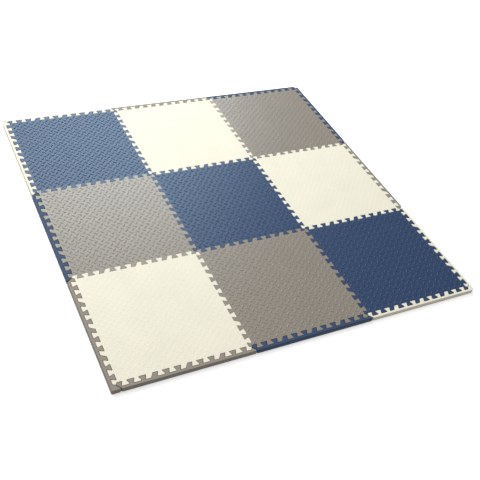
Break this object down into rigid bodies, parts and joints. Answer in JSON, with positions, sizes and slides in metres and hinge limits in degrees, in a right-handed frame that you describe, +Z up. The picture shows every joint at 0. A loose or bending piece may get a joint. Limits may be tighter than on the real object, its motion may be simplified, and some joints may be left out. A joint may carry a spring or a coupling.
{
  "type": "interlocking foam blocking mat set",
  "caption": "Square interlocking foam tiles with toothed border strips, laid flat on the floor as one mat for pinning out damp knitting.",
  "frame": {"origin": "middle of the underside of the laid-out mat", "axes": "+X to the right along the front edge, +Y to the back, +Z up"},
  "size_m": [0.925, 0.925, 0.01],
  "materials": {
    "cream_foam": "satin closed-cell foam, embossed on top",
    "grey_foam": "satin closed-cell foam, embossed on top",
    "blue_foam": "satin closed-cell foam, embossed on top"
  },
  "bodies": {
    "tile_row1_col1": {"tile_row1_col1": "cream_foam"},
    "tile_row1_col2": {"tile_row1_col2": "grey_foam"},
    "tile_row1_col3": {"tile_row1_col3": "blue_foam"},
    "tile_row2_col1": {"tile_row2_col1": "grey_foam"},
    "tile_row2_col2": {"tile_row2_col2": "blue_foam"},
    "tile_row2_col3": {"tile_row2_col3": "cream_foam"},
    "tile_row3_col1": {"tile_row3_col1": "blue_foam"},
    "tile_row3_col2": {"tile_row3_col2": "cream_foam"},
    "tile_row3_col3": {"tile_row3_col3": "grey_foam"},
    "strip_front_1": {"strip_front_1": "grey_foam"},
    "strip_front_2": {"strip_front_2": "blue_foam"},
    "strip_front_3": {"strip_front_3": "cream_foam"},
    "strip_right_1": {"strip_right_1": "cream_foam"},
    "strip_right_2": {"strip_right_2": "grey_foam"},
    "strip_right_3": {"strip_right_3": "blue_foam"},
    "strip_back_1": {"strip_back_1": "blue_foam"},
    "strip_back_2": {"strip_back_2": "grey_foam"},
    "strip_back_3": {"strip_back_3": "cream_foam"},
    "strip_left_1": {"strip_left_1": "cream_foam"},
    "strip_left_2": {"strip_left_2": "blue_foam"},
    "strip_left_3": {"strip_left_3": "grey_foam"}
  },
  "joints": [
    {"name": "tile_row1_col1_lift", "type": "slide", "parent": "tile_row2_col2", "child": "tile_row1_col1", "axis": [0, 0, 1], "range_m": [0, 0.03]},
    {"name": "tile_row1_col2_lift", "type": "slide", "parent": "tile_row2_col2", "child": "tile_row1_col2", "axis": [0, 0, 1], "range_m": [0, 0.03]},
    {"name": "tile_row1_col3_lift", "type": "slide", "parent": "tile_row2_col2", "child": "tile_row1_col3", "axis": [0, 0, 1], "range_m": [0, 0.03]},
    {"name": "tile_row2_col1_lift", "type": "slide", "parent": "tile_row2_col2", "child": "tile_row2_col1", "axis": [0, 0, 1], "range_m": [0, 0.03]},
    {"name": "tile_row2_col3_lift", "type": "slide", "parent": "tile_row2_col2", "child": "tile_row2_col3", "axis": [0, 0, 1], "range_m": [0, 0.03]},
    {"name": "tile_row3_col1_lift", "type": "slide", "parent": "tile_row2_col2", "child": "tile_row3_col1", "axis": [0, 0, 1], "range_m": [0, 0.03]},
    {"name": "tile_row3_col2_lift", "type": "slide", "parent": "tile_row2_col2", "child": "tile_row3_col2", "axis": [0, 0, 1], "range_m": [0, 0.03]},
    {"name": "tile_row3_col3_lift", "type": "slide", "parent": "tile_row2_col2", "child": "tile_row3_col3", "axis": [0, 0, 1], "range_m": [0, 0.03]},
    {"name": "strip_front_1_lift", "type": "slide", "parent": "tile_row1_col1", "child": "strip_front_1", "axis": [0, 0, 1], "range_m": [0, 0.03]},
    {"name": "strip_front_2_lift", "type": "slide", "parent": "tile_row1_col2", "child": "strip_front_2", "axis": [0, 0, 1], "range_m": [0, 0.03]},
    {"name": "strip_front_3_lift", "type": "slide", "parent": "tile_row1_col3", "child": "strip_front_3", "axis": [0, 0, 1], "range_m": [0, 0.03]},
    {"name": "strip_right_1_lift", "type": "slide", "parent": "tile_row1_col3", "child": "strip_right_1", "axis": [0, 0, 1], "range_m": [0, 0.03]},
    {"name": "strip_right_2_lift", "type": "slide", "parent": "tile_row2_col3", "child": "strip_right_2", "axis": [0, 0, 1], "range_m": [0, 0.03]},
    {"name": "strip_right_3_lift", "type": "slide", "parent": "tile_row3_col3", "child": "strip_right_3", "axis": [0, 0, 1], "range_m": [0, 0.03]},
    {"name": "strip_back_1_lift", "type": "slide", "parent": "tile_row3_col3", "child": "strip_back_1", "axis": [0, 0, 1], "range_m": [0, 0.03]},
    {"name": "strip_back_2_lift", "type": "slide", "parent": "tile_row3_col2", "child": "strip_back_2", "axis": [0, 0, 1], "range_m": [0, 0.03]},
    {"name": "strip_back_3_lift", "type": "slide", "parent": "tile_row3_col1", "child": "strip_back_3", "axis": [0, 0, 1], "range_m": [0, 0.03]},
    {"name": "strip_left_1_lift", "type": "slide", "parent": "tile_row3_col1", "child": "strip_left_1", "axis": [0, 0, 1], "range_m": [0, 0.03]},
    {"name": "strip_left_2_lift", "type": "slide", "parent": "tile_row2_col1", "child": "strip_left_2", "axis": [0, 0, 1], "range_m": [0, 0.03]},
    {"name": "strip_left_3_lift", "type": "slide", "parent": "tile_row1_col1", "child": "strip_left_3", "axis": [0, 0, 1], "range_m": [0, 0.03]}
  ]
}
